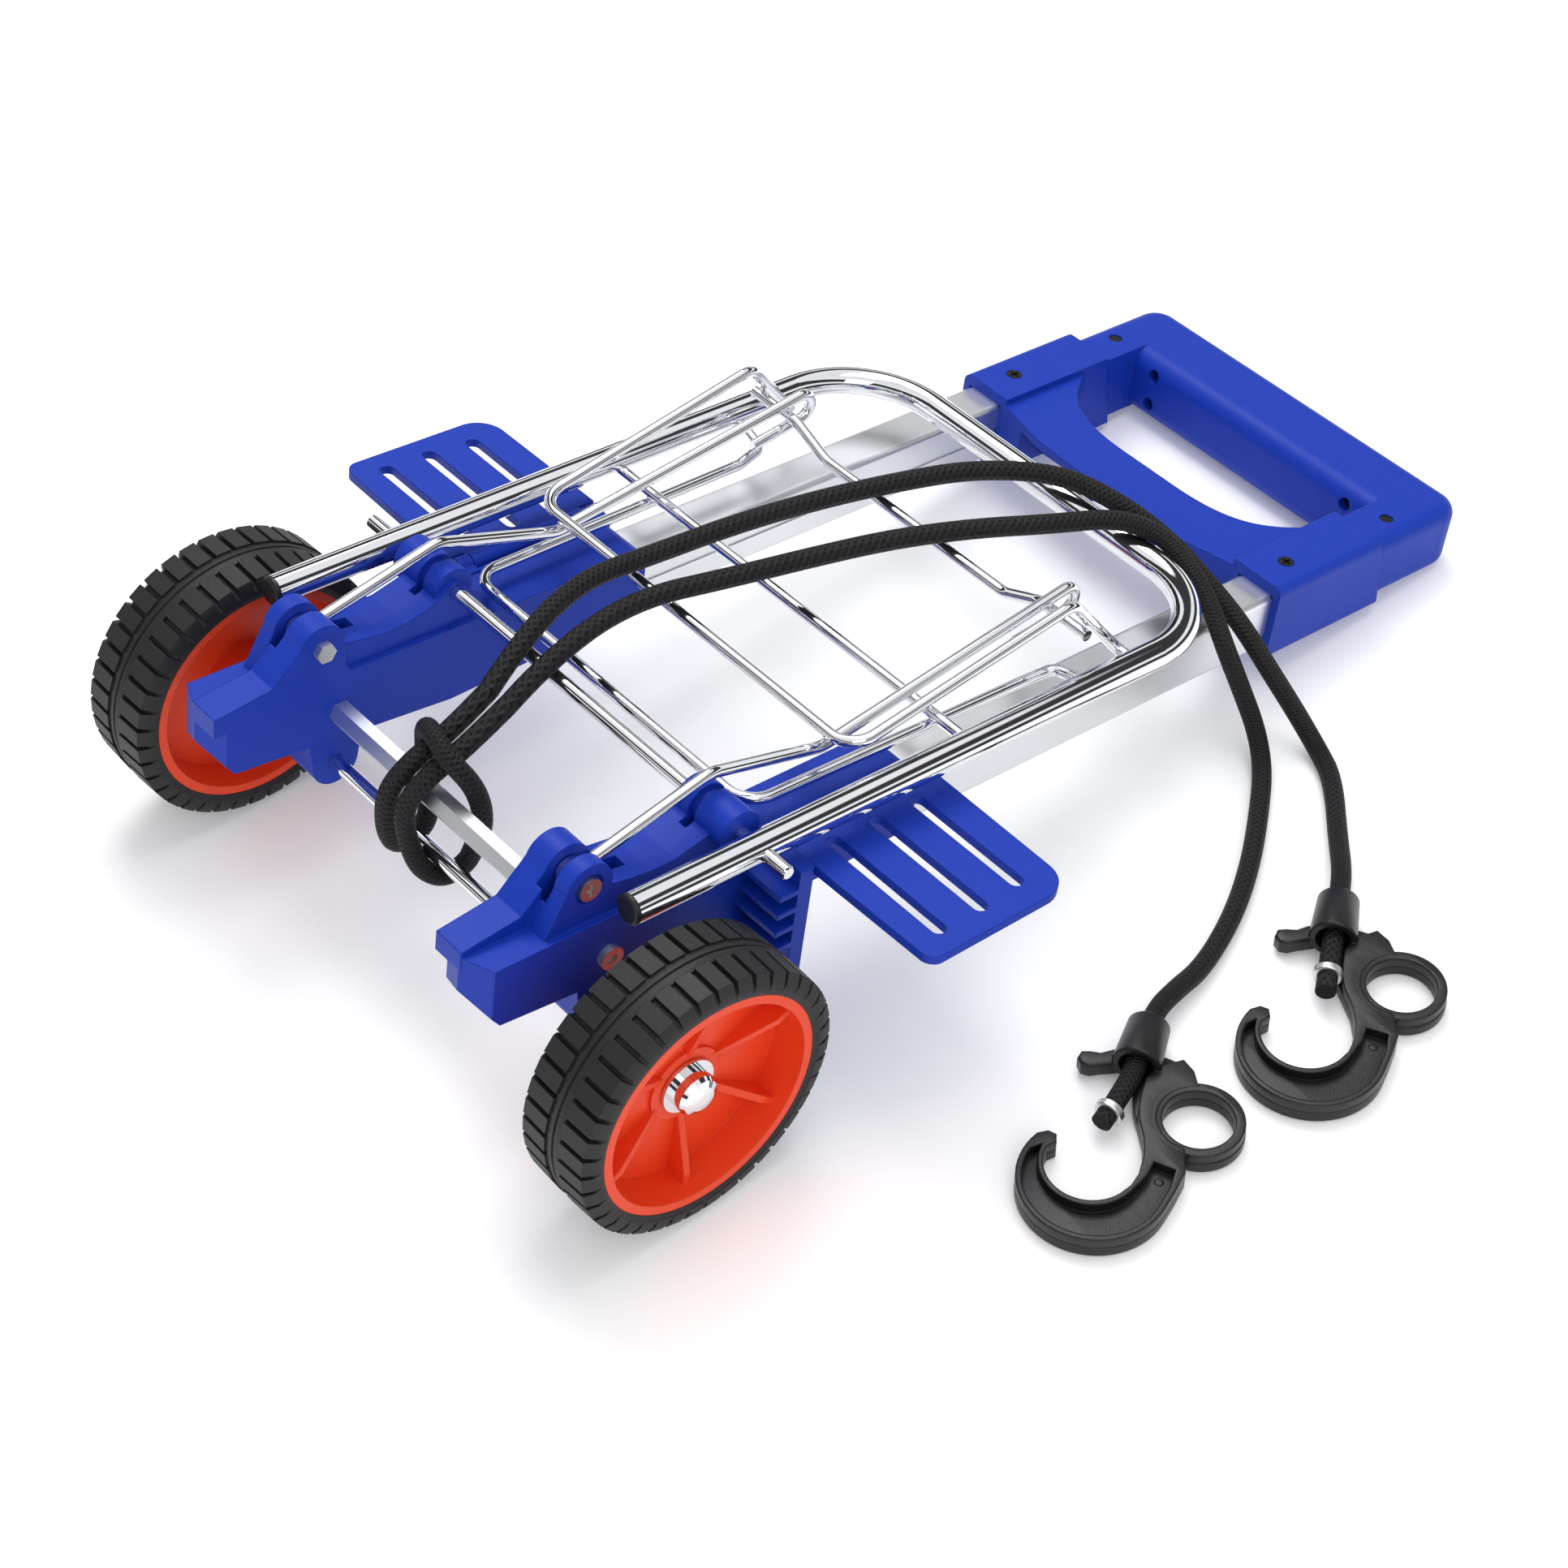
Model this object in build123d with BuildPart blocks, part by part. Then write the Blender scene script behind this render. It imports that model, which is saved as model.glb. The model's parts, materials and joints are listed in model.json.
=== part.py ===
from build123d import *
from math import cos, radians, sin, tan
import os

# Folding luggage cart lying on its back. Millimetres. The rigid pieces are drawn in the cart's
# own frame: the wheel axle is the X axis, +Y runs along the tubes to the grip and +Z points away
# from the tubes on the platform's side. The pose "rest" lays them down on the wheels and the grip.

# ---- driving dimensions ----
tyre_radius = 60.0
rim_radius = 50.0
wheel_width = 38.9
wheel_offset = 145.3
axle_diameter = 6.5
tube_offset = 86.1
outer_tube_width = 20.4
outer_tube_depth = 28.5
tube_middle_height = 27.35
outer_tube_start = -45.0
outer_tube_end = 400.0
tube_wall = 1.5
stage_clearance = 0.3
platform_tube_diameter = 12.8
platform_half_width = 114.0
platform_end = 318.0
platform_height = 63.0
platform_corner = 45.0
wire_diameter = 5.0
pivot_along = 57.0
lug_along = -9.8
lug_height = 62.8
hex_bar_size = 9.5
hex_bar_height = 27.3
cord_diameter = 8.6
running_clearance = 0.08
swing_clearance = 0.4
rest_tilt = 8.287
rest_shift = 219.37

rest = Location((0, -rest_shift, tyre_radius), (-rest_tilt, 0, 0))

os.makedirs("parts", exist_ok=True)


def save(shape, name):
    """Write one piece drawn in the cart's frame, laid down in its resting pose."""
    placed = shape.moved(rest)
    placed.label = name
    export_step(placed, f"parts/{name}.step")


def save_pair(shape, name):
    """Write a right-hand piece and its mirror image on the left."""
    save(shape, f"{name}_right")
    save(mirror(shape, about=Plane.YZ), f"{name}_left")


def side_plane(x):
    """Plane facing +X at x, drawn with Y to the right and Z up."""
    return Plane.YZ.offset(x)


def cross_plane(y):
    """Plane across the tubes at y, drawn with X to the right and Z up."""
    return Plane.XZ.offset(-y)


def wire(points, bends, diameter):
    """A round wire along straight runs joined by tangent arcs."""
    with BuildPart() as piece:
        with BuildLine() as route:
            FilletPolyline(*points, radius=bends)
        with BuildSketch(Plane(origin=route.line @ 0, z_dir=route.line % 0)):
            Circle(diameter / 2)
        sweep(path=route.line)
    return piece.part


def cord_bends(points, name):
    """Bend radii that share each short run between its two corners, and the route's length."""
    bends = []
    for before, here, after in zip(points, points[1:], points[2:]):
        into = Vector(*here) - Vector(*before)
        out = Vector(*after) - Vector(*here)
        turn = radians(into.get_angle(out))
        bends.append(0.45 * min(into.length, out.length) / tan(turn / 2))
    print(name, "bend radii", [round(bend, 1) for bend in bends])
    return bends


def cord(points, name):
    """A cord along its route points, already in the resting frame."""
    piece = wire(points, cord_bends(points, name), cord_diameter)
    piece.label = name
    export_step(piece, f"parts/{name}.step")
    length = piece.volume / (3.14159265 * (cord_diameter / 2) ** 2)
    print(name, "length", round(length, 1))


def tube_profile(width, depth, corner, wall):
    """Draw one rounded rectangular tube's section about the tube line."""
    with Locations((tube_offset, tube_middle_height)):
        RectangleRounded(width, depth, corner)
        if wall > 0:
            inner = max(corner - wall, 0.6)
            RectangleRounded(width - 2 * wall, depth - 2 * wall, inner, mode=Mode.SUBTRACT)


# ---- wheels ----
hub_width = 37.0
hub_boss_radius = 16.5
hub_boss_out = 4.1
hub_boss_in = 19.2
rim_inner_radius = 44.5
web_half = 2.5
rib_count = 6
rib_first_angle = 28.0
rib_top = 12.7

with BuildPart() as tyre:
    with BuildSketch(Plane.XY) as tyre_section:
        with Locations((wheel_offset, (rim_radius + tyre_radius) / 2)):
            Rectangle(wheel_width, tyre_radius - rim_radius)
        fillet(tyre_section.vertices().group_by(Axis.Y)[-1], 5.5)
    revolve(axis=Axis.X)
save_pair(tyre.part, "tyre")

hub_bore = axle_diameter / 2 + running_clearance
with BuildPart() as hub:
    with BuildSketch(Plane.XY):
        with BuildLine():
            Polyline(
                (wheel_offset - hub_boss_in, hub_bore),
                (wheel_offset - hub_boss_in, hub_boss_radius),
                (wheel_offset - web_half, hub_boss_radius),
                (wheel_offset - web_half, rim_inner_radius),
                (wheel_offset - hub_width / 2, rim_inner_radius + 1.5),
                (wheel_offset - hub_width / 2, rim_radius),
                (wheel_offset + hub_width / 2, rim_radius),
                (wheel_offset + hub_width / 2, rim_inner_radius + 1.5),
                (wheel_offset + web_half, rim_inner_radius),
                (wheel_offset + web_half, hub_boss_radius),
                (wheel_offset + hub_boss_out, hub_boss_radius),
                (wheel_offset + hub_boss_out, hub_bore),
                close=True,
            )
        make_face()
    revolve(axis=Axis.X)
    for rib in range(rib_count):
        rib_angle = rib_first_angle + rib * 360 / rib_count
        with BuildSketch(Plane.XY.rotated((rib_angle, 0, 0))):
            with BuildLine():
                Polyline(
                    (wheel_offset, hub_boss_radius - 2),
                    (wheel_offset + hub_boss_out, hub_boss_radius - 2),
                    (wheel_offset + rib_top, rim_inner_radius - 4),
                    (wheel_offset + rib_top, rim_inner_radius + 3),
                    (wheel_offset, rim_inner_radius + 3),
                    close=True,
                )
            make_face()
        extrude(amount=1.6, both=True)
save_pair(hub.part, "hub")

# ---- axle, its spacers and end caps ----
bracket_inner = 72.0
bracket_outer = 100.0
axle_reach = wheel_offset + 10.0
washer_face = wheel_offset + hub_boss_out + swing_clearance
washer_radius = 12.0
cap_radius = 9.0

with BuildPart() as axle:
    with BuildSketch(side_plane(-axle_reach)):
        Circle(axle_diameter / 2)
    extrude(amount=2 * axle_reach)
save(axle.part, "axle")

with BuildPart() as spacer:
    with BuildSketch(side_plane(bracket_outer)):
        Circle(6.5)
        Circle(axle_diameter / 2, mode=Mode.SUBTRACT)
    extrude(amount=wheel_offset - hub_boss_in - swing_clearance - bracket_outer)
save_pair(spacer.part, "axle_spacer")

with BuildPart() as axle_cap:
    with BuildSketch(Plane.XY):
        with BuildLine():
            Polyline(
                (axle_reach, 0),
                (axle_reach, axle_diameter / 2),
                (washer_face, axle_diameter / 2),
                (washer_face, washer_radius),
                (washer_face + 1.5, washer_radius),
                (washer_face + 1.5, cap_radius),
                (washer_face + 7.0, cap_radius),
                (washer_face + 8.6, cap_radius - 1.2),
                (washer_face + 9.8, cap_radius - 3.6),
                (washer_face + 10.3, cap_radius - 6.2),
                (washer_face + 10.3, 0),
                close=True,
            )
        make_face()
    revolve(axis=Axis.X)
save_pair(axle_cap.part, "axle_cap")

# ---- telescopic tubes ----
middle_tube_width = outer_tube_width - 2 * tube_wall - 2 * stage_clearance
middle_tube_depth = outer_tube_depth - 2 * tube_wall - 2 * stage_clearance
inner_tube_width = middle_tube_width - 2 * tube_wall - 2 * stage_clearance
inner_tube_depth = middle_tube_depth - 2 * tube_wall - 2 * stage_clearance
middle_tube_start = 12.0
middle_tube_end = 438.0
inner_tube_start = 18.0
inner_tube_end = 470.0
hex_screw_diameter = 5.0

with BuildPart() as outer_tube:
    with BuildSketch(cross_plane(outer_tube_start)):
        tube_profile(outer_tube_width, outer_tube_depth, 3.0, tube_wall)
    extrude(amount=outer_tube_start - outer_tube_end)
    with BuildSketch(cross_plane(outer_tube_start)):
        with Locations((tube_offset - outer_tube_width / 2, tube_middle_height)):
            Rectangle(1.4, 5.0)
    extrude(amount=outer_tube_start - outer_tube_end, mode=Mode.SUBTRACT)
    with BuildSketch(side_plane(bracket_inner)):
        with Locations((0, hex_bar_height)):
            Circle(hex_screw_diameter / 2)
    extrude(amount=30, mode=Mode.SUBTRACT)
save_pair(outer_tube.part, "outer_tube")

with BuildPart() as middle_tube:
    with BuildSketch(cross_plane(middle_tube_start)):
        tube_profile(middle_tube_width, middle_tube_depth, 2.0, tube_wall)
    extrude(amount=middle_tube_start - middle_tube_end)
save_pair(middle_tube.part, "middle_tube")

with BuildPart() as inner_tube:
    with BuildSketch(cross_plane(inner_tube_start)):
        tube_profile(inner_tube_width, inner_tube_depth, 1.2, tube_wall)
    extrude(amount=inner_tube_start - inner_tube_end)
save_pair(inner_tube.part, "inner_tube")

# ---- lower brackets ----
bracket_top = 46.5
bracket_back = 157.0
bracket_nose = -60.0
lug_radius = 11.0
lug_outer = 97.0
slot_low = 83.4
slot_high = 89.6
boss_radius = 9.5
pivot_rod_diameter = 6.0
gusset_front = 72.0
gusset_back = 79.0
wing_front = 80.6
wing_back = 158.0
wing_hinge_offset = 105.0
wing_height = 46.0
wing_pin_diameter = 3.0
lug_bolt_diameter = 5.0
knuckle_radius = 4.0

with BuildPart() as bracket:
    # Long body round the tube.
    with BuildSketch(side_plane(bracket_inner)) as body_outline:
        with BuildLine():
            Polyline(
                (bracket_nose, 30),
                (bracket_nose, bracket_top),
                (bracket_back, bracket_top),
                (bracket_back, 15),
                (pivot_along - 1, 9.4),
                (-50, 17.7),
                close=True,
            )
        make_face()
        fillet(body_outline.vertices().group_by(Axis.X)[-1], 7)
    extrude(amount=bracket_outer - bracket_inner)
    # Two flat facets meet in a ridge down the middle of the nose.
    for side_x in (bracket_inner, bracket_outer):
        with BuildSketch(Plane.XY):
            with BuildLine():
                Polyline(
                    (side_x, bracket_nose - 1),
                    ((bracket_inner + bracket_outer) / 2, bracket_nose - 1),
                    ((bracket_inner + bracket_outer) / 2, bracket_nose),
                    (side_x, bracket_nose + 6),
                    close=True,
                )
            make_face()
        extrude(amount=60, mode=Mode.SUBTRACT)
    # Boss hanging down round the axle.
    with BuildSketch(side_plane(bracket_inner + 2)):
        with BuildLine():
            Polyline((-11, 0), (-15, 24), (15, 24), (11, 0), close=True)
        make_face()
        Circle(11)
    extrude(amount=bracket_outer - bracket_inner - 2)
    # Spine rising from the nose to the lug on the inner half.
    with BuildSketch(side_plane(bracket_inner)):
        with BuildLine():
            Polyline(
                (bracket_nose, 40),
                (bracket_nose, 49),
                (-33, 53),
                (lug_along - 10, lug_height + 4),
                (lug_along + 5, lug_height),
                (8, 40),
                close=True,
            )
        make_face()
    extrude(amount=15)
    # Lug for the link bolt.
    with BuildSketch(side_plane(bracket_inner)):
        with Locations((lug_along, lug_height)):
            Circle(lug_radius)
        with BuildLine():
            Polyline(
                (-31, 44),
                (lug_along - 10.4, lug_height + 2),
                (lug_along + 10.6, lug_height),
                (lug_along + 12.5, 44),
                close=True,
            )
        make_face()
    extrude(amount=lug_outer - bracket_inner)
    # Saddle from the lug to the pivot boss.
    with BuildSketch(side_plane(bracket_inner + 2)):
        with BuildLine():
            Polyline(
                (-8, 40),
                (-8, 62),
                (9, 58.5),
                (20, 57),
                (32, 57),
                (46, 61),
                (pivot_along, platform_height + 5),
                (pivot_along + 12, 58),
                (pivot_along + 14, 40),
                close=True,
            )
        make_face()
    extrude(amount=lug_outer - bracket_inner - 2)
    with BuildSketch(side_plane(bracket_inner + 4)):
        with Locations((pivot_along, platform_height)):
            Circle(boss_radius)
    extrude(amount=28)
    # Cut the face back between the boss's two collars.
    with BuildSketch(side_plane(84)):
        with Locations((pivot_along, platform_height)):
            Circle(boss_radius + 4)
            Circle(boss_radius - 2.5, mode=Mode.SUBTRACT)
        with Locations((pivot_along, platform_height - 13)):
            Rectangle(40, 14, mode=Mode.SUBTRACT)
    extrude(amount=4, mode=Mode.SUBTRACT)
    # Outboard gusset with four stiffening shelves.
    with BuildSketch(Plane.XY.offset(-5)):
        with Locations(((bracket_outer + 124) / 2 - 1, (gusset_front + gusset_back) / 2)):
            Rectangle(124 - bracket_outer + 2, gusset_back - gusset_front)
    extrude(amount=55)
    for rib_height in (12, 21, 30, 39):
        with BuildSketch(Plane.XY.offset(rib_height)):
            with Locations(((bracket_outer + 124) / 2 - 1, gusset_front - 3.5)):
                Rectangle(124 - bracket_outer + 2, 11)
        extrude(amount=2.5)
    # Hinge knuckles for the wing.
    for knuckle_start in (wing_front, wing_back - 8):
        with BuildSketch(cross_plane(knuckle_start)):
            with Locations((wing_hinge_offset, wing_height)):
                Circle(knuckle_radius)
            with Locations((wing_hinge_offset - 4, wing_height - 5)):
                Rectangle(8, 13)
        extrude(amount=-7)
    # Socket for the tube, open at the back.
    with BuildSketch(cross_plane(outer_tube_start)):
        tube_profile(outer_tube_width, outer_tube_depth, 3.0, 0)
    extrude(amount=outer_tube_start - bracket_back - 5, mode=Mode.SUBTRACT)
    # Link slot in the lug.
    with BuildSketch(side_plane(slot_low)):
        with BuildLine():
            Polyline((-24, 52), (-24, 80), (20, 80), (12, 52), close=True)
        make_face()
    extrude(amount=slot_high - slot_low, mode=Mode.SUBTRACT)
    # Bolt, rod, pin and axle holes.
    with BuildSketch(side_plane(60)):
        with Locations((lug_along, lug_height)):
            Circle(lug_bolt_diameter / 2)
        with Locations((pivot_along, platform_height)):
            Circle(pivot_rod_diameter / 2 + running_clearance)
        Circle(axle_diameter / 2)
        with Locations((0, hex_bar_height)):
            Circle(hex_screw_diameter / 2)
    extrude(amount=60, mode=Mode.SUBTRACT)
    with BuildSketch(side_plane(lug_outer - 1.5)):
        with Locations((lug_along, lug_height)):
            Circle(6.5)
    extrude(amount=10, mode=Mode.SUBTRACT)
    with BuildSketch(cross_plane(gusset_back + 0.8)):
        with Locations((wing_hinge_offset, wing_height)):
            Circle(wing_pin_diameter / 2)
    extrude(amount=-90, mode=Mode.SUBTRACT)
save_pair(bracket.part, "bracket")

with BuildPart() as lug_bolt:
    with BuildSketch(side_plane(bracket_inner - 3.5)):
        with Locations((lug_along, lug_height)):
            Circle(lug_bolt_diameter / 2)
    extrude(amount=lug_outer - bracket_inner + 2)
    with BuildSketch(side_plane(lug_outer - 1.5)):
        with Locations((lug_along, lug_height)):
            Circle(5.0)
    extrude(amount=2.6)
    with BuildSketch(side_plane(lug_outer + 1.1)):
        with Locations((lug_along, lug_height)):
            Rectangle(6, 1.2)
            Rectangle(1.2, 6)
    extrude(amount=-1.4, mode=Mode.SUBTRACT)
save_pair(lug_bolt.part, "lug_bolt")

with BuildPart() as lug_nut:
    with BuildSketch(side_plane(bracket_inner - 3.5)):
        with Locations((lug_along, lug_height)):
            RegularPolygon(4.0, 6, major_radius=False)
            Circle(lug_bolt_diameter / 2, mode=Mode.SUBTRACT)
    extrude(amount=3.5)
save_pair(lug_nut.part, "lug_nut")

# ---- hexagonal cross bar ----
with BuildPart() as hex_bar:
    with BuildSketch(side_plane(-bracket_inner)):
        with Locations((0, hex_bar_height)):
            RegularPolygon(hex_bar_size / 2, 6, major_radius=False)
            Circle(hex_screw_diameter / 2, mode=Mode.SUBTRACT)
    extrude(amount=2 * bracket_inner)
save(hex_bar.part, "hex_bar")

with BuildPart() as hex_screw:
    with BuildSketch(side_plane(bracket_inner - 14)):
        with Locations((0, hex_bar_height)):
            Circle(hex_screw_diameter / 2)
    extrude(amount=bracket_outer - bracket_inner + 14)
    with BuildSketch(side_plane(bracket_outer)):
        with Locations((0, hex_bar_height)):
            Circle(5.2)
    extrude(amount=3)
    with BuildSketch(side_plane(bracket_outer + 3)):
        with Locations((0, hex_bar_height)):
            RegularPolygon(2.2, 6, major_radius=False)
    extrude(amount=-2, mode=Mode.SUBTRACT)
save_pair(hex_screw.part, "hex_bar_screw")

# ---- wings ----
wing_thickness = 4.0
wing_barrel_gap = 0.4
barrel_start = wing_front + 7 + wing_barrel_gap
barrel_end = wing_back - 8 - wing_barrel_gap
barrel_run = barrel_end - barrel_start
slot_width = 6.6

with BuildPart() as wing:
    with BuildSketch(Plane.XY.offset(wing_height - wing_thickness / 2)) as wing_outline:
        with BuildLine():
            Polyline(
                (wing_hinge_offset, barrel_start),
                (wing_hinge_offset + 5, barrel_start),
                (wing_hinge_offset + 5, wing_front),
                (187, wing_front + 1.5),
                (185.5, wing_back - 1),
                (wing_hinge_offset + 5, wing_back),
                (wing_hinge_offset + 5, barrel_end),
                (wing_hinge_offset, barrel_end),
                close=True,
            )
        make_face()
        fillet(wing_outline.vertices().group_by(Axis.X)[-1], 6)
        fillet(wing_outline.vertices().group_by(Axis.X)[-2], 13)
        for slot_along, slot_end in ((96.5, 178), (118.5, 177.6), (140, 175)):
            with Locations(((113 + slot_end) / 2, slot_along)):
                SlotOverall(slot_end - 113, slot_width, mode=Mode.SUBTRACT)
    extrude(amount=wing_thickness)
    with BuildSketch(cross_plane(barrel_start)):
        with Locations((wing_hinge_offset, wing_height)):
            Circle(knuckle_radius)
    extrude(amount=-barrel_run)
    # Root strip kept clear of the knuckles as the wing turns.
    with BuildSketch(cross_plane(wing_front)):
        with Locations((wing_hinge_offset, wing_height)):
            Circle(knuckle_radius + swing_clearance)
    extrude(amount=-(7 + wing_barrel_gap), mode=Mode.SUBTRACT)
    with BuildSketch(cross_plane(barrel_end)):
        with Locations((wing_hinge_offset, wing_height)):
            Circle(knuckle_radius + swing_clearance)
    extrude(amount=-(8 + wing_barrel_gap), mode=Mode.SUBTRACT)
    with BuildSketch(cross_plane(barrel_start - 1)):
        with Locations((wing_hinge_offset, wing_height)):
            Circle(wing_pin_diameter / 2 + running_clearance)
    extrude(amount=-(barrel_run + 2), mode=Mode.SUBTRACT)
save_pair(wing.part, "wing")

with BuildPart() as wing_pin:
    with BuildSketch(cross_plane(wing_front)):
        with Locations((wing_hinge_offset, wing_height)):
            Circle(wing_pin_diameter / 2)
    extrude(amount=-(wing_back - 1 - wing_front))
save_pair(wing_pin.part, "wing_pin")

# ---- yoke joining the outer tubes ----
yoke_front = 370.0
yoke_back_top = 436.0
yoke_back_low = 445.0
sleeve_inner = 72.0
sleeve_outer = 100.0
sleeve_low = 8.0
sleeve_high = 47.0
bridge_low = 21.0
bridge_high = 44.0
moving_width = middle_tube_width + 2 * stage_clearance
moving_depth = middle_tube_depth + 2 * stage_clearance

with BuildPart() as yoke:
    with BuildSketch(Plane.XY.offset(bridge_low)) as bridge_outline:
        with BuildLine():
            Polyline(
                (0, 391),
                (0, 361),
                (45, 363),
                (sleeve_inner + 2, yoke_front),
                (sleeve_inner + 2, 434),
            )
            Spline(
                (0, 391),
                (32, 392),
                (56, 401),
                (69, 416),
                (sleeve_inner + 2, 434),
                tangents=((1, 0), (0.1, 1)),
            )
        make_face()
        mirror(about=Plane.YZ)
    extrude(amount=bridge_high - bridge_low)
    for pocket_middle in (-40, 0, 40):
        with BuildSketch(Plane.XY.offset(bridge_low)):
            with Locations((pocket_middle, 371)):
                Rectangle(34, 26)
        extrude(amount=bridge_high - bridge_low - 4, mode=Mode.SUBTRACT)
    for side in (-1, 1):
        with BuildSketch(side_plane(side * (sleeve_inner + sleeve_outer) / 2)):
            with BuildLine():
                Polyline(
                    (yoke_front, sleeve_low),
                    (yoke_front, sleeve_high),
                    (yoke_back_top, sleeve_high),
                    (yoke_back_low, sleeve_low),
                    close=True,
                )
            make_face()
        extrude(amount=(sleeve_outer - sleeve_inner) / 2, both=True)
    sleeve_edges = yoke.edges().filter_by(Axis.Y).filter_by(
        lambda edge: abs(edge.center().X) > sleeve_outer - 0.1
    )
    fillet(sleeve_edges, 4.5)
    for side in (-1, 1):
        with Locations((side * tube_offset, 0, tube_middle_height)):
            with Locations((0, (yoke_front + outer_tube_end) / 2 - 5, 0)):
                Box(
                    outer_tube_width,
                    outer_tube_end - yoke_front + 10,
                    outer_tube_depth,
                    mode=Mode.SUBTRACT,
                )
            with Locations((0, outer_tube_end + 25, 0)):
                Box(moving_width, 50.1, moving_depth, mode=Mode.SUBTRACT)
        with Locations((side * tube_offset, 388, sleeve_high)):
            Cylinder(1.6, 20, mode=Mode.SUBTRACT)
            Cylinder(3.6, 3, mode=Mode.SUBTRACT)
save(yoke.part, "yoke")

tube_top = tube_middle_height + outer_tube_depth / 2
with BuildPart() as yoke_screw:
    with BuildSketch(Plane.XY.offset(tube_top)):
        with Locations((tube_offset, 388)):
            Circle(1.6)
    extrude(amount=sleeve_high - 1.5 - tube_top)
    with BuildSketch(Plane.XY.offset(sleeve_high - 1.5)):
        with Locations((tube_offset, 388)):
            Circle(3.4)
    extrude(amount=1.6)
    with BuildSketch(Plane.XY.offset(sleeve_high + 0.1)):
        with Locations((tube_offset, 388)):
            Rectangle(4.4, 1)
            Rectangle(1, 4.4)
    extrude(amount=-1, mode=Mode.SUBTRACT)
save_pair(yoke_screw.part, "yoke_screw")

# ---- grip ----
grip_front = 458.0
cap_seam = 483.0
grip_back = 498.0
grip_low = 10.7
grip_high = 44.0
grip_half = 98.0
grip_sleeve_inner = 74.0
seam_gap = 0.5
grip_round = 7.0
button_half = 47.0
button_middle = -2.0
button_low = 23.0
button_high = 33.0

with BuildPart() as grip_shell:
    with BuildSketch(Plane.XY.offset(grip_low)) as grip_outline:
        with Locations((0, (grip_front + cap_seam) / 2)):
            Rectangle(2 * grip_half, cap_seam - grip_front)
    extrude(amount=grip_high - grip_low)
    fillet(grip_shell.edges().filter_by(Axis.X).group_by(Axis.Y)[0], 9)
    for side in (-1, 1):
        with BuildSketch(side_plane(side * (grip_sleeve_inner + grip_half) / 2)):
            with BuildLine():
                Polyline(
                    (yoke_back_low - 1 + seam_gap, grip_low),
                    (yoke_back_top + 0.7 + seam_gap, grip_high),
                    (grip_front + 12, grip_high),
                    (grip_front + 12, grip_low),
                    close=True,
                )
            make_face()
        extrude(amount=(grip_half - grip_sleeve_inner) / 2, both=True)
    outer_edges = grip_shell.edges().filter_by(Axis.Y).filter_by(
        lambda edge: abs(edge.center().X) > grip_half - 0.1
    )
    fillet(outer_edges, grip_round)
    for side in (-1, 1):
        with Locations((side * tube_offset, (inner_tube_end + 430) / 2, tube_middle_height)):
            Box(inner_tube_width, inner_tube_end - 430, inner_tube_depth, mode=Mode.SUBTRACT)
        with Locations((side * tube_offset, 440, tube_middle_height)):
            Box(moving_width + 0.6, 8, moving_depth + 0.6, mode=Mode.SUBTRACT)
        with Locations((side * tube_offset, 456, grip_high)):
            Cylinder(1.4, 8, mode=Mode.SUBTRACT)
            Cylinder(3.2, 3, mode=Mode.SUBTRACT)
    for side in (-1, 1):
        for screw_height in (20.5, 35.5):
            with BuildSketch(cross_plane(grip_front)):
                with Locations((side * 61, screw_height)):
                    Circle(3.2)
            extrude(amount=-6, mode=Mode.SUBTRACT)
save(grip_shell.part, "grip_shell")

with BuildPart() as grip_cap:
    with BuildSketch(Plane.XY.offset(grip_low)) as cap_outline:
        with Locations((0, (cap_seam + grip_back) / 2)):
            Rectangle(2 * grip_half, grip_back - cap_seam)
        fillet(cap_outline.vertices().group_by(Axis.Y)[-1], 12)
    extrude(amount=grip_high - grip_low)
    rim_edges = (grip_cap.edges().group_by(Axis.Z)[0] + grip_cap.edges().group_by(Axis.Z)[-1]).filter_by(
        lambda edge: edge.center().Y > cap_seam + 0.1
    )
    fillet(rim_edges, grip_round)
    with BuildSketch(cross_plane(cap_seam)):
        with Locations((button_middle, (button_low + button_high) / 2)):
            SlotOverall(2 * button_half + 0.8, button_high - button_low + 0.8)
    extrude(amount=-(grip_back - cap_seam + 1), mode=Mode.SUBTRACT)
save(grip_cap.part, "grip_cap")

button_travel = 3.0
with BuildPart() as release_bar:
    with BuildSketch(cross_plane(cap_seam + button_travel + 0.4)):
        with Locations((button_middle, (button_low + button_high) / 2)):
            SlotOverall(2 * button_half, button_high - button_low)
    extrude(amount=-(grip_back + 1.2 - cap_seam - button_travel - 0.4))
save(release_bar.part, "release_bar")

with BuildPart() as grip_screws:
    for side in (-1, 1):
        with Locations((side * tube_offset, 456, grip_high - 1.0)):
            Cylinder(3.0, 1.0)
        for screw_height in (20.5, 35.5):
            with BuildSketch(cross_plane(grip_front + 6)):
                with Locations((side * 61, screw_height)):
                    Circle(3.0)
                    Rectangle(4, 0.9, mode=Mode.SUBTRACT)
                    Rectangle(0.9, 4, mode=Mode.SUBTRACT)
            extrude(amount=1.6)
save(grip_screws.part, "grip_screws")

# ---- platform frame ----
leg_start = -4.0
tread_height = 55.0
cross_wire_along = 171.0
foot_hinge_along = 262.0
tube_radius = platform_tube_diameter / 2

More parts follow.
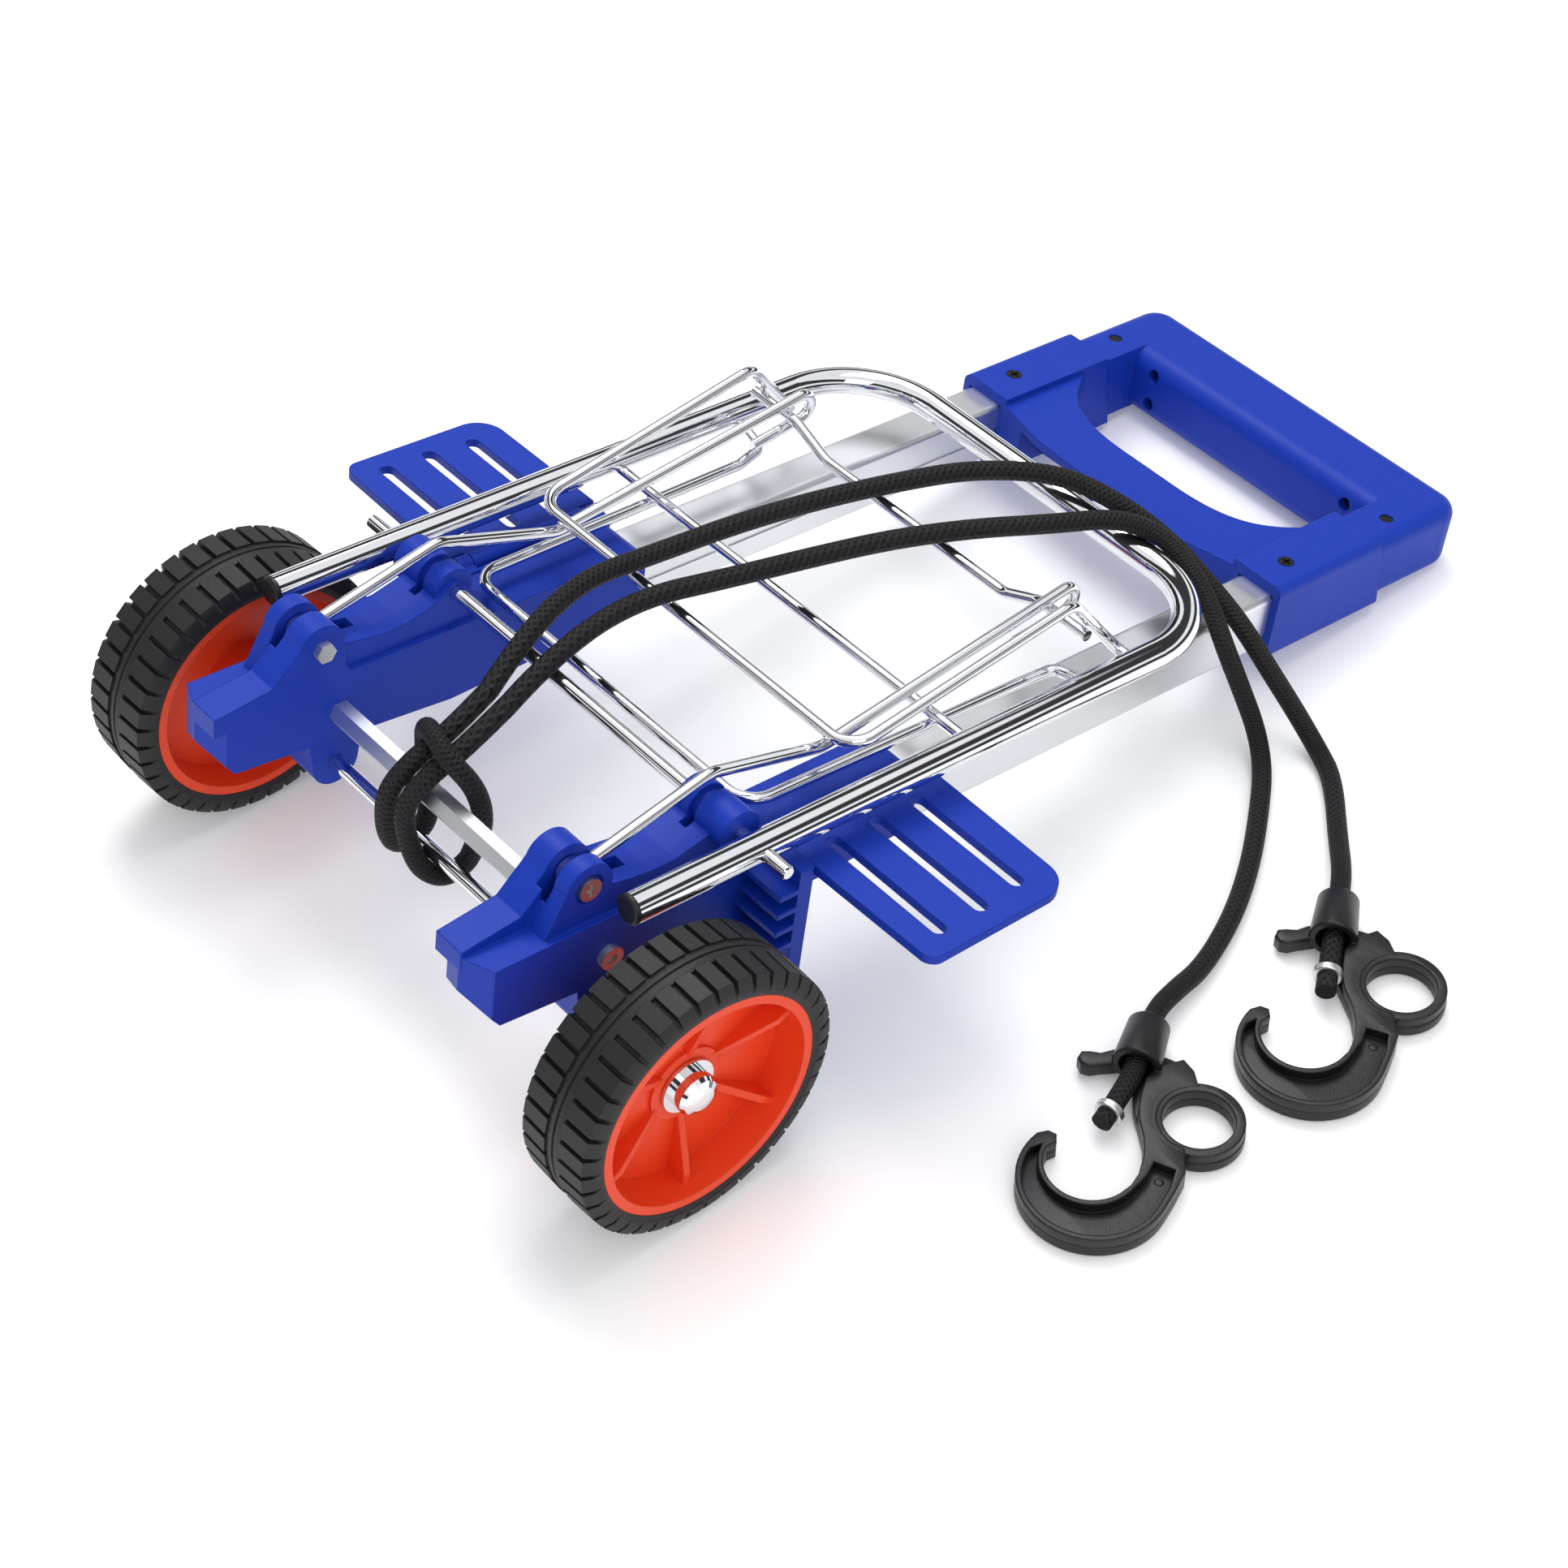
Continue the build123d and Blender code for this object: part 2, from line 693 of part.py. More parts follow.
with BuildPart() as platform_tube:
    with BuildLine() as platform_route:
        FilletPolyline(
            (platform_half_width, leg_start, platform_height),
            (platform_half_width, platform_end, platform_height),
            (-platform_half_width, platform_end, platform_height),
            (-platform_half_width, leg_start, platform_height),
            radius=platform_corner,
        )
    with BuildSketch(cross_plane(leg_start)):
        with Locations((platform_half_width, platform_height)):
            Circle(tube_radius)
            Circle(tube_radius - 1.2, mode=Mode.SUBTRACT)
    sweep(path=platform_route.line)
    with BuildSketch(side_plane(-130)):
        with Locations((pivot_along, platform_height)):
            Circle(pivot_rod_diameter / 2)
    extrude(amount=260, mode=Mode.SUBTRACT)
    with BuildSketch(side_plane(-platform_half_width)):
        with Locations((foot_hinge_along, platform_height)):
            Circle(wire_diameter / 2 + running_clearance)
    extrude(amount=2 * platform_half_width, mode=Mode.SUBTRACT)
save(platform_tube.part, "platform_tube")

with BuildPart() as tube_cap:
    with BuildSketch(cross_plane(leg_start)):
        with Locations((platform_half_width, platform_height)):
            Circle(tube_radius)
    extrude(amount=2.2)
    fillet(tube_cap.edges().group_by(Axis.Y)[0], 1.5)
    with BuildSketch(cross_plane(leg_start)):
        with Locations((platform_half_width, platform_height)):
            Circle(tube_radius - 1.2)
    extrude(amount=-12)
save_pair(tube_cap.part, "tube_cap")

with BuildPart() as pivot_rod:
    with BuildSketch(side_plane(-132)):
        with Locations((pivot_along, platform_height)):
            Circle(pivot_rod_diameter / 2)
    extrude(amount=264)
    chamfer(pivot_rod.edges().filter_by(GeomType.CIRCLE), 0.6)
save(pivot_rod.part, "pivot_rod")

tread_points = [
    (platform_half_width - 2, 239, 60.5),
    (92.5, 236.5, tread_height + 2.0),
    (90, 222, tread_height),
    (87, 76, tread_height),
    (-87, 76, tread_height),
    (-90, 222, tread_height),
    (-92.5, 236.5, tread_height + 2.0),
    (-platform_half_width + 2, 239, 60.5),
]
with BuildPart() as tread_wire:
    add(wire(tread_points, [6, 6, 12, 12, 6, 6], wire_diameter))
    with Locations((0, 200, platform_height)):
        with GridLocations(2 * platform_half_width, 1, 2, 1):
            Cylinder(tube_radius, 200, rotation=(90, 0, 0), mode=Mode.SUBTRACT)
save(tread_wire.part, "tread_wire")

with BuildPart() as cross_wire:
    with BuildSketch(side_plane(-platform_half_width)):
        with Locations((cross_wire_along, tread_height + wire_diameter)):
            Circle(wire_diameter / 2)
    extrude(amount=2 * platform_half_width)
    with Locations((0, cross_wire_along, platform_height)):
        with GridLocations(2 * platform_half_width, 1, 2, 1):
            Cylinder(tube_radius, 60, rotation=(90, 0, 0), mode=Mode.SUBTRACT)
save(cross_wire.part, "cross_wire")

# ---- swinging foot: hump wire and the rod that slides in the link hooks ----
slide_along = 239.5
slide_height = 79.5
foot_points = [
    (platform_half_width - 2, foot_hinge_along, platform_height),
    (101.5, foot_hinge_along, platform_height),
    (99.4, 232, 95.7),
    (98, 117, 71.5),
    (-98, 117, 71.5),
    (-99.4, 232, 95.7),
    (-101.5, foot_hinge_along, platform_height),
    (-platform_half_width + 2, foot_hinge_along, platform_height),
]
save(wire(foot_points, [4, 9, 12, 12, 9, 4], wire_diameter), "foot_wire")

slide_points = [
    (103.5, slide_along, slide_height),
    (76, slide_along, slide_height),
    (56, slide_along + 1, slide_height - 9),
    (-56, slide_along + 1, slide_height - 9),
    (-76, slide_along, slide_height),
    (-103.5, slide_along, slide_height),
]
save(wire(slide_points, [12, 12, 12, 12], wire_diameter), "foot_rod")

# ---- links ----
hook_half_gap = 6.2
hook_spare = 7.2
hook_slope = 9.7
hook_return = 20.0
along = (cos(radians(hook_slope)), sin(radians(hook_slope)))


def beside(run, lift):
    """Point in the link's plane, run along the hook's slot and lift above its middle."""
    return (
        slide_along + run * along[0] - lift * along[1],
        slide_height + run * along[1] + lift * along[0],
    )


hook_top = beside(hook_spare + hook_half_gap, hook_half_gap)
hook_low = beside(hook_spare + hook_half_gap, -hook_half_gap)
hook_tail = beside(-hook_return, -hook_half_gap)
link_points = [
    (86.5, lug_along + 5, lug_height + 1.4),
    (86, 55, 80.6),
    (83.6, 115.5, 64.3),
    (82, hook_top[0], hook_top[1]),
    (82, hook_low[0], hook_low[1]),
    (82, hook_tail[0], hook_tail[1]),
]
bend = hook_half_gap - 0.05
with BuildPart() as link_leg:
    add(wire(link_points, [14, 14, bend, bend], wire_diameter))
    with BuildSketch(side_plane(84)):
        with Locations((lug_along, lug_height)):
            Circle(6.2)
    extrude(amount=5)
    with BuildSketch(side_plane(80)):
        with Locations((lug_along, lug_height)):
            Circle(lug_bolt_diameter / 2 + running_clearance)
    extrude(amount=14, mode=Mode.SUBTRACT)
save_pair(link_leg.part, "link_leg")

# ---- elastic cord: round both cross bars, over the frame and down to two hooks ----
cord_hitch_points = [
    (-21, -178, 112.1),
    (-19, -200, 104.2),
    (-19, -218, 100.8),
    (-24, -228, 86.1),
    (-26, -229, 67.3),
    (-26, -226, 53.7),
    (-27, -215, 50.2),
    (-27, -207, 57.2),
    (-30, -204, 73.8),
    (-33, -202, 89.6),
    (-28, -204, 105.2),
    (-15, -209, 112.5),
    (-3, -211, 109.1),
    (5, -205, 96.1),
    (8, -204, 79.8),
    (3, -207, 62.0),
    (1, -210, 53.5),
    (-2, -220, 49.3),
    (-7, -227, 55.9),
    (-12, -228, 69.2),
    (-13, -228, 86.1),
    (-8, -218, 100.8),
    (-8, -200, 104.2),
    (-9, -177, 113.0),
]
cord_long_points = [
    (-21, -178, 112.1),
    (-28, -153, 123.4),
    (-36, -118, 126.0),
    (-34, -85, 121.0),
    (-32, -44, 115.2),
    (-28, -3, 108.1),
    (-20, 36, 102.0),
    (-10, 73, 95.6),
    (12, 102, 91.4),
    (38, 111, 88.2),
    (60, 122, 74.8),
    (80, 126, 62.1),
    (103, 125, 53.7),
    (119, 128, 36.5),
    (131, 134, 17.5),
    (146, 134, 5.4),
    (163, 126, 4.8),
    (190, 100, 5.6),
    (204, 86.5, 9.2),
    (212.8, 75.8, 10.3),
    (228, 55.4, 10.5),
    (246.8, 30.4, 10.3),
]
cord_short_points = [
    (-9, -177, 113.0),
    (-11, -152, 123.8),
    (-14, -109, 125.0),
    (-4, -67, 119.0),
    (3, -30, 113.2),
    (11, 7, 107.2),
    (23, 42, 101.2),
    (37, 75, 94.3),
    (49, 101, 91.0),
    (63, 114, 84.1),
    (78, 117, 73.4),
    (92, 116, 63.5),
    (108, 110, 53.2),
    (117, 114, 31.5),
    (126, 116, 13.9),
    (139, 108, 5.0),
    (156, 88, 4.8),
    (175, 63, 4.8),
    (191, 36, 4.8),
    (203, 6, 5.4),
    (206, -14, 8.4),
    (209.8, -29.5, 10.2),
    (221.6, -48.9, 10.5),
    (230, -64, 10.4),
    (236, -84, 9.4),
]
cord(cord_hitch_points, "cord_hitch")
cord(cord_long_points, "cord_long")
cord(cord_short_points, "cord_short")

# ---- cord hooks, drawn about the middle of the hook's mouth ----
hook_mouth_radius = 17.8
hook_outer_radius = 30.0
hook_thickness = 10.0
hook_lift = 0.6
ring_hole_radius = 14.2
ring_outer_radius = 18.6
socket_height = 10.4
hook_places = {
    "hook_long": Location((256.7, 8.5, 0), (0, 0, 0)),
    "hook_short": Location((247.7, -101.6, 0), (0, 0, -5.5)),
}

with BuildPart() as hook:
    with BuildSketch(Plane.XY.offset(hook_lift)):
        with Locations((6.3, -3.2)):
            Circle(hook_outer_radius)
        with Locations((7.5, 47.9)):
            Circle(ring_outer_radius)
        with BuildLine():
            Polyline(
                (16, 10),
                (26, 24),
                (10, 60),
                (-12, 62),
                (-24, 62),
                (-31.5, 52),
                (-22, 47),
                (-12, 38),
                (-3, 28),
                (4, 10),
                close=True,
            )
        make_face()
        with BuildLine():
            Polyline((-44, 34), (-43, 28), (-36, 30), (-31, 38), (-28, 52), (-38, 42), close=True)
        make_face()
        Circle(hook_mouth_radius, mode=Mode.SUBTRACT)
        with Locations((7.5, 47.9)):
            Circle(ring_hole_radius, mode=Mode.SUBTRACT)
        with BuildLine():
            Polyline((-2, 0), (-60, -8), (-60, 27), (-6, 27), close=True)
        make_face(mode=Mode.SUBTRACT)
    extrude(amount=hook_thickness)
    # Shallow pocket that follows the hook's arc on the top face.
    with BuildSketch(Plane.XY.offset(hook_lift + hook_thickness)):
        with Locations((6.3, -3.2)):
            Circle(hook_outer_radius - 2.2)
        Circle(hook_mouth_radius + 2.2, mode=Mode.SUBTRACT)
        with BuildLine():
            Polyline((6, 10), (-50, -16), (-60, 60), (60, 60), (60, 16), (22, 18), close=True)
        make_face(mode=Mode.SUBTRACT)
    extrude(amount=-1.8, mode=Mode.SUBTRACT)
    with BuildSketch(Plane(origin=(-40.5, 62.7, socket_height), z_dir=(0.6, -0.8, 0))):
        Circle(8.6)
    with BuildSketch(Plane(origin=(-27.0, 44.7, socket_height), z_dir=(0.6, -0.8, 0))):
        Circle(10.0)
    loft()
    with BuildSketch(Plane(origin=(-46.5, 70.7, socket_height), z_dir=(0.6, -0.8, 0))):
        Circle(cord_diameter / 2 + 0.35)
    extrude(amount=62, mode=Mode.SUBTRACT)
for hook_name, place in hook_places.items():
    placed_hook = hook.part.moved(place)
    placed_hook.label = hook_name
    export_step(placed_hook, f"parts/{hook_name}.step")

# ---- wire clips squeezed round the cord ends ----
clip_wire = 1.8
clip_places = {
    "clip_long": Plane(origin=(241, 38, 10.4), z_dir=(0.6, -0.8, 0)),
    "clip_short": Plane(origin=(234.2, -78, 9.7), z_dir=(0.285, -0.957, -0.048)),
}
for clip_name, clip_plane in clip_places.items():
    with BuildPart() as clip:
        with BuildSketch(clip_plane):
            Circle(cord_diameter / 2 + clip_wire)
            Circle(cord_diameter / 2, mode=Mode.SUBTRACT)
        extrude(amount=clip_wire, both=True)
        fillet(clip.edges().filter_by(GeomType.CIRCLE).group_by(SortBy.RADIUS)[-1], 0.8)
    clip.part.label = clip_name
    export_step(clip.part, f"parts/{clip_name}.step")
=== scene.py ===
# %% [markdown]
# # Folding luggage cart
# The cart lies folded on its back. Its hard parts come from the CAD frame, already in metres and
# in place. This lesson adds the camera, the elastic cord, the tread, the hooks and every finish.

import json
from math import cos, pi, radians, sin

import bmesh
import bpy
from mathutils import Matrix, Vector


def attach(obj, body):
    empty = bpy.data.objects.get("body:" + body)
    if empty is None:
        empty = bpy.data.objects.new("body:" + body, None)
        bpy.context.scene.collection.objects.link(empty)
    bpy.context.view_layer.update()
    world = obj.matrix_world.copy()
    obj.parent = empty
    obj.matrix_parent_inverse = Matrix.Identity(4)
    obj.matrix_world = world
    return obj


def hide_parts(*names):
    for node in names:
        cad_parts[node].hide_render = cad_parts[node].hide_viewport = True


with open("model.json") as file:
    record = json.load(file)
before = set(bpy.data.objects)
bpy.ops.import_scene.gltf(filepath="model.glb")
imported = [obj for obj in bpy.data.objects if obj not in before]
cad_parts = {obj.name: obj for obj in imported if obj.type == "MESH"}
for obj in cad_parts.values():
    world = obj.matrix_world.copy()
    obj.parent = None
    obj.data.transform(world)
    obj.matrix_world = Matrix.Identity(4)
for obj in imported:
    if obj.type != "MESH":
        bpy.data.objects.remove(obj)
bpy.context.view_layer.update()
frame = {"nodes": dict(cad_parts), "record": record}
nodes = frame["nodes"]
MM = 0.001

# %% [markdown]
# ## Camera
# A long lens from above the near wheel's side shows the whole cart, with the hooks at the right.

# %% Camera
CAMERA_LENS = 78.04  # in millimetres, for a sensor 36 mm wide
CAMERA_PLACE = (0.7876, -0.7188, 1.0332)
CAMERA_LOOK = Vector((-0.5347, 0.4588, -0.7097))

camera_data = bpy.data.cameras.new("studio_camera")
camera_data.lens = CAMERA_LENS
camera_data.sensor_width = 36.0
camera = bpy.data.objects.new("studio_camera", camera_data)
bpy.context.scene.collection.objects.link(camera)
camera.location = CAMERA_PLACE
camera.rotation_euler = CAMERA_LOOK.to_track_quat("-Z", "Y").to_euler()
bpy.context.scene.camera = camera
print("camera at", tuple(camera.location))

# %% [markdown]
# ## Elastic cord
# One bungee cord is hitched round both cross bars and its two ends run over the wires to the
# hooks. A smooth NURBS curve with a round bevel is the simplest true tube, and it keeps one
# thickness all along.

# %% Cord routes
CORD_DIAMETER = 8.6 * MM
hitch_route = [
    (-21, -178, 112.1),
    (-19, -200, 104.2),
    (-19, -218, 100.8),
    (-24, -228, 86.1),
    (-26, -229, 67.3),
    (-26, -226, 53.7),
    (-27, -215, 50.2),
    (-27, -207, 57.2),
    (-30, -204, 73.8),
    (-33, -202, 89.6),
    (-28, -204, 105.2),
    (-15, -209, 112.5),
    (-3, -211, 109.1),
    (5, -205, 96.1),
    (8, -204, 79.8),
    (3, -207, 62.0),
    (1, -210, 53.5),
    (-2, -220, 49.3),
    (-7, -227, 55.9),
    (-12, -228, 69.2),
    (-13, -228, 86.1),
    (-8, -218, 100.8),
    (-8, -200, 104.2),
    (-9, -177, 113.0),
]
long_route = [
    (-21, -178, 112.1),
    (-28, -153, 123.4),
    (-36, -118, 126.0),
    (-34, -85, 121.0),
    (-32, -44, 115.2),
    (-28, -3, 108.1),
    (-20, 36, 102.0),
    (-10, 73, 95.6),
    (12, 102, 91.4),
    (38, 111, 88.2),
    (60, 122, 74.8),
    (80, 126, 62.1),
    (103, 125, 53.7),
    (119, 128, 36.5),
    (131, 134, 17.5),
    (146, 134, 5.4),
    (163, 126, 4.8),
    (190, 100, 5.6),
    (204, 86.5, 9.2),
    (212.8, 75.8, 10.3),
    (228, 55.4, 10.5),
    (246.8, 30.4, 10.3),
]
short_route = [
    (-9, -177, 113.0),
    (-11, -152, 123.8),
    (-14, -109, 125.0),
    (-4, -67, 119.0),
    (3, -30, 113.2),
    (11, 7, 107.2),
    (23, 42, 101.2),
    (37, 75, 94.3),
    (49, 101, 91.0),
    (63, 114, 84.1),
    (78, 117, 73.4),
    (92, 116, 63.5),
    (108, 110, 53.2),
    (117, 114, 31.5),
    (126, 116, 13.9),
    (139, 108, 5.0),
    (156, 88, 4.8),
    (175, 63, 4.8),
    (191, 36, 4.8),
    (203, 6, 5.4),
    (206, -14, 8.4),
    (209.8, -29.5, 10.2),
    (221.6, -48.9, 10.5),
    (230, -64, 10.4),
    (236, -84, 9.4),
]
print("route points", len(hitch_route), len(long_route), len(short_route))


# %% Cord builder
def make_cord(name, route):
    """A round cord on one smooth spline.

    Blender grows a curve's bound box by its points' radii, so each point carries the cord's own
    radius and the bevel that it multiplies is 1 m.
    """
    curve = bpy.data.curves.new(name, "CURVE")
    curve.dimensions = "3D"
    curve.bevel_depth = 1.0
    curve.bevel_resolution = 5
    curve.resolution_u = 10
    curve.render_resolution_u = 10
    curve.use_fill_caps = True
    spline = curve.splines.new("NURBS")
    spline.points.add(len(route) - 1)
    for point, place in zip(spline.points, route):
        point.co = (place[0] * MM, place[1] * MM, place[2] * MM, 1.0)
        point.radius = CORD_DIAMETER / 2
    spline.order_u = 3
    spline.use_endpoint_u = True
    cord = bpy.data.objects.new(name, curve)
    bpy.context.scene.collection.objects.link(cord)
    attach(cord, "frame")
    return cord


def spline_length(cord):
    """Length of the cord's own centre line."""
    bare = cord.data.copy()
    bare.bevel_depth = 0.0
    probe = bpy.data.objects.new("probe", bare)
    line = bpy.data.meshes.new_from_object(probe)
    points = [vertex.co for vertex in line.vertices]
    length = sum((b - a).length for a, b in zip(points, points[1:]))
    bpy.data.objects.remove(probe)
    return length


hitch = make_cord("hitch_cord", hitch_route)
long_strand = make_cord("long_strand", long_route)
short_strand = make_cord("short_strand", short_route)
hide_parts("cord_hitch")
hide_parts("cord_long")
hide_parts("cord_short")
cords = (hitch, long_strand, short_strand)
for cord in cords:
    print(cord.name, "length", round(spline_length(cord), 4))

# %% [markdown]
# ## Grain shared by the moulded parts
# Moulded plastic and rubber have a fine matt grain that breaks up the light. It is one node group
# with two noises, so that each material can set how coarse, how deep and how rough it is.


# %% Grain group
def build_grain_group():
    """Fine grain: a height for the bump and a roughness that varies a little."""
    group = bpy.data.node_groups.new("moulded grain", "ShaderNodeTree")
    for socket_name, value in (
        ("Scale", 900.0),
        ("Roughness Low", 0.35),
        ("Roughness High", 0.5),
    ):
        socket = group.interface.new_socket(
            socket_name, in_out="INPUT", socket_type="NodeSocketFloat"
        )
        socket.default_value = value
    for socket_name in ("Height", "Roughness"):
        group.interface.new_socket(socket_name, in_out="OUTPUT", socket_type="NodeSocketFloat")
    entry = group.nodes.new("NodeGroupInput")
    leave = group.nodes.new("NodeGroupOutput")
    place = group.nodes.new("ShaderNodeTexCoord")
    grain = group.nodes.new("ShaderNodeTexNoise")
    grain.inputs["Detail"].default_value = 2.0
    patches = group.nodes.new("ShaderNodeTexNoise")
    patches.inputs["Scale"].default_value = 22.0
    patches.inputs["Detail"].default_value = 3.0
    spread = group.nodes.new("ShaderNodeMapRange")
    link = group.links.new
    link(place.outputs["Object"], grain.inputs["Vector"])
    link(place.outputs["Object"], patches.inputs["Vector"])
    link(entry.outputs["Scale"], grain.inputs["Scale"])
    link(patches.outputs["Fac"], spread.inputs["Value"])
    link(entry.outputs["Roughness Low"], spread.inputs["To Min"])
    link(entry.outputs["Roughness High"], spread.inputs["To Max"])
    link(grain.outputs["Fac"], leave.inputs["Height"])
    link(spread.outputs["Result"], leave.inputs["Roughness"])
    return group


grain_group = build_grain_group()
print("grain group", [socket.name for socket in grain_group.interface.items_tree])


# %% [markdown]
# ## Finishes
# Every finish is a Principled shader. What is the same all over is set on the shader itself, and
# only the grain's bump and roughness come in through links.


# %% Finish builder
EDGE_SAMPLES = 6


def add_bump(tree, height, depth):
    """A bump node that turns a height from 0 to 1 into relief of the given depth in metres."""
    relief = tree.nodes.new("ShaderNodeBump")
    relief.inputs["Strength"].default_value = 1.0
    relief.inputs["Distance"].default_value = depth
    tree.links.new(height, relief.inputs["Height"])
    return relief


def finish(name, colour, metallic, grain_scale, bump, roughness, edge=0.0, specular=0.5):
    """A material with the shared grain, and with edges softened over the length edge, in metres."""
    material = bpy.data.materials.new(name)
    material.use_nodes = True
    tree = material.node_tree
    shader = tree.nodes["Principled BSDF"]
    shader.inputs["Base Color"].default_value = (*colour, 1.0)
    shader.inputs["Metallic"].default_value = metallic
    shader.inputs["Specular IOR Level"].default_value = specular
    grain = tree.nodes.new("ShaderNodeGroup")
    grain.node_tree = grain_group
    grain.inputs["Scale"].default_value = grain_scale
    grain.inputs["Roughness Low"].default_value = roughness[0]
    grain.inputs["Roughness High"].default_value = roughness[1]
    relief = add_bump(tree, grain.outputs["Height"], bump)
    tree.links.new(grain.outputs["Roughness"], shader.inputs["Roughness"])
    tree.links.new(relief.outputs["Normal"], shader.inputs["Normal"])
    if edge > 0:
        rounding = tree.nodes.new("ShaderNodeBevel")
        rounding.samples = EDGE_SAMPLES
        rounding.inputs["Radius"].default_value = edge
        tree.links.new(rounding.outputs["Normal"], relief.inputs["Normal"])
    material.diffuse_color = (*colour, 1.0)
    return material


blue = finish(
    "blue moulded plastic", (0.004, 0.034, 0.38), 0.0, 1400.0, 0.00007, (0.40, 0.54), 0.0010, 0.22
)
orange = finish(
    "orange moulded plastic", (0.80, 0.055, 0.010), 0.0, 1200.0, 0.00005, (0.36, 0.5), 0.0008, 0.35
)
black = finish(
    "black moulded plastic", (0.008, 0.008, 0.009), 0.0, 1500.0, 0.00010, (0.30, 0.44), 0.0008, 0.40
)
rubber = finish(
    "tyre rubber", (0.011, 0.011, 0.012), 0.0, 1100.0, 0.00012, (0.46, 0.62), 0.0004, 0.40
)
pale = finish("pale release bar", (0.62, 0.66, 0.70), 0.0, 1200.0, 0.00003, (0.35, 0.45))
chrome = finish("polished chrome", (0.80, 0.81, 0.83), 1.0, 300.0, 0.000002, (0.03, 0.08))
alloy = finish("satin anodised aluminium", (0.80, 0.81, 0.83), 1.0, 1800.0, 0.00003, (0.32, 0.42))
zinc = finish("zinc plated steel", (0.70, 0.70, 0.69), 1.0, 900.0, 0.00003, (0.30, 0.45))
black_screw = finish("blackened screw", (0.02, 0.02, 0.02), 0.6, 900.0, 0.00003, (0.25, 0.4))
print("finishes", len(bpy.data.materials))


# %% [markdown]
# ## Braid on the cord
# The cord's sheath is a tight braid. It follows the cord, so it reads the curve's own UV: two
# waves of slanting threads cross each other, and the higher one shows, as on woven thread.


# %% Braid
THREAD_PITCH = 0.0021
THREADS_ROUND = 8.0
BRAID_DEPTH = 0.0006


def braid_finish(name, length):
    """Black braid with threads about a millimetre wide, whatever the cord's length."""
    material = bpy.data.materials.new(name)
    material.use_nodes = True
    tree = material.node_tree
    link = tree.links.new
    shader = tree.nodes["Principled BSDF"]
    shader.inputs["Roughness"].default_value = 0.6
    shader.inputs["Specular IOR Level"].default_value = 0.25
    place = tree.nodes.new("ShaderNodeTexCoord")
    threads = []
    for slant in (-1, 1):
        turn = tree.nodes.new("ShaderNodeMapping")
        turn.inputs["Scale"].default_value = (length / THREAD_PITCH, slant * THREADS_ROUND, 1.0)
        wave = tree.nodes.new("ShaderNodeTexWave")
        wave.wave_type = "BANDS"
        wave.bands_direction = "DIAGONAL"
        wave.inputs["Scale"].default_value = 0.5
        wave.inputs["Distortion"].default_value = 0.6
        link(place.outputs["UV"], turn.inputs["Vector"])
        link(turn.outputs["Vector"], wave.inputs["Vector"])
        threads.append(wave)
    weave = tree.nodes.new("ShaderNodeMath")
    weave.operation = "MAXIMUM"
    link(threads[0].outputs["Fac"], weave.inputs[0])
    link(threads[1].outputs["Fac"], weave.inputs[1])
    relief = add_bump(tree, weave.outputs["Value"], BRAID_DEPTH)
    link(relief.outputs["Normal"], shader.inputs["Normal"])
    # Painted shade: the colour follows the weave's height, so the grooves between the threads are
    # near black and the raised threads a little lighter.
    groove_shade_ramp = tree.nodes.new("ShaderNodeValToRGB")
    groove_shade_ramp.color_ramp.elements[0].color = (0.002, 0.002, 0.002, 1.0)
    groove_shade_ramp.color_ramp.elements[1].color = (0.014, 0.014, 0.015, 1.0)
    link(weave.outputs["Value"], groove_shade_ramp.inputs["Fac"])
    link(groove_shade_ramp.outputs["Color"], shader.inputs["Base Color"])
    return material


for cord in cords:
    cord.data.materials.append(braid_finish(cord.name + " braid", spline_length(cord)))
print("braided cords", len(cords))

# %% [markdown]
# ## Tyres
# Each tyre has a smooth carcass with two thin ribs round its middle, and a row of tread blocks on
# each side that wrap over the shoulder. The carcass is a section spun about the axle, and one
# block is copied round.

# %% Tyre sizes
AXLE_HEIGHT = 60.0 * MM
AXLE_ALONG = -219.37 * MM
WHEEL_OFFSET = 145.3 * MM
TREAD_BLOCKS = 40
BLOCK_SIZE = (13.4 * MM, 7.0 * MM, 3.4 * MM)
BLOCK_MIDDLE = 10.6 * MM  # from the tyre's middle plane
BLOCK_HEIGHT = 58.3 * MM  # from the axle
SHOULDER_REACH = (2.1 * MM, -4.6 * MM)  # outwards and down, over the shoulder
WELD_DISTANCE = 1e-6


# %% Tyre builder
def new_piece(name, bm, material, body, smooth_angle=35):
    """Turn a finished bmesh into a piece that rides on a body."""
    mesh = bpy.data.meshes.new(name)
    bm.to_mesh(mesh)
    bm.free()
    mesh.materials.append(material)
    piece = bpy.data.objects.new(name, mesh)
    bpy.context.scene.collection.objects.link(piece)
    mesh.shade_smooth()
    mesh.set_sharp_from_angle(angle=radians(smooth_angle))
    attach(piece, body)
    return piece


def spin_section(bm, points, axis, steps):
    """Spin a closed section, given as corners in metres, once round an axis through the origin."""
    ring = [bm.verts.new(point) for point in points]
    edges = [bm.edges.new((ring[i], ring[(i + 1) % len(ring)])) for i in range(len(ring))]
    bmesh.ops.spin(
        bm,
        geom=ring + edges,
        cent=(0, 0, 0),
        axis=axis,
        dvec=(0, 0, 0),
        angle=2 * pi,
        steps=steps,
        use_merge=True,
    )


